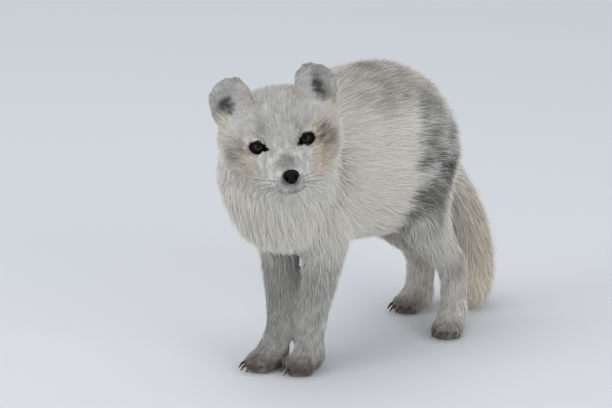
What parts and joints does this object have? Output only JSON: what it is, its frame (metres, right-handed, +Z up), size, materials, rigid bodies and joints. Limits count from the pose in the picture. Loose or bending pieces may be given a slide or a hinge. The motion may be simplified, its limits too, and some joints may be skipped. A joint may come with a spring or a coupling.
{
  "type": "arctic fox",
  "caption": "Life-size arctic fox standing on all fours, head turned to its left, ears pricked and bushy tail hanging.",
  "frame": {"origin": "on the ground under the middle of the box that the fox fills", "axes": "+X to the fox's left, +Y towards its tail, +Z up; the body faces -Y"},
  "size_m": [0.1884, 0.4644, 0.3664],
  "materials": {
    "coat": "soft pale grey-white fur with darker grey and tan markings",
    "bare_skin": "moist black pebbled skin of the nose, lips and eyelids",
    "eye": "wet dark brown eye with a black pupil",
    "claw": "dull dark horn"
  },
  "bodies": {
    "root": {"chest": "coat", "claw_fore_left_1": "claw", "claw_fore_left_2": "claw", "claw_fore_left_3": "claw", "claw_fore_left_4": "claw", "claw_fore_right_1": "claw", "claw_fore_right_2": "claw", "claw_fore_right_3": "claw", "claw_fore_right_4": "claw", "claw_hind_left_1": "claw", "claw_hind_left_2": "claw", "claw_hind_left_3": "claw", "claw_hind_left_4": "claw", "claw_hind_right_1": "claw", "claw_hind_right_2": "claw", "claw_hind_right_3": "claw", "claw_hind_right_4": "claw", "ear_left": "coat", "ear_right": "coat", "eye_left": "eye", "eye_right": "eye", "foreleg_left": "coat", "foreleg_right": "coat", "head": "coat", "hock_left": "coat", "hock_right": "coat", "jaw": "coat", "loin": "coat", "muzzle": "coat", "neck": "coat", "nose": "bare_skin", "paw_fore_left": "coat", "paw_fore_right": "coat", "paw_hind_left": "coat", "paw_hind_right": "coat", "shank_left": "coat", "shank_right": "coat", "shoulder_left": "coat", "shoulder_right": "coat", "tail_root": "coat", "tail_tip": "coat", "thigh_left": "coat", "thigh_right": "coat"}
  },
  "joints": []
}
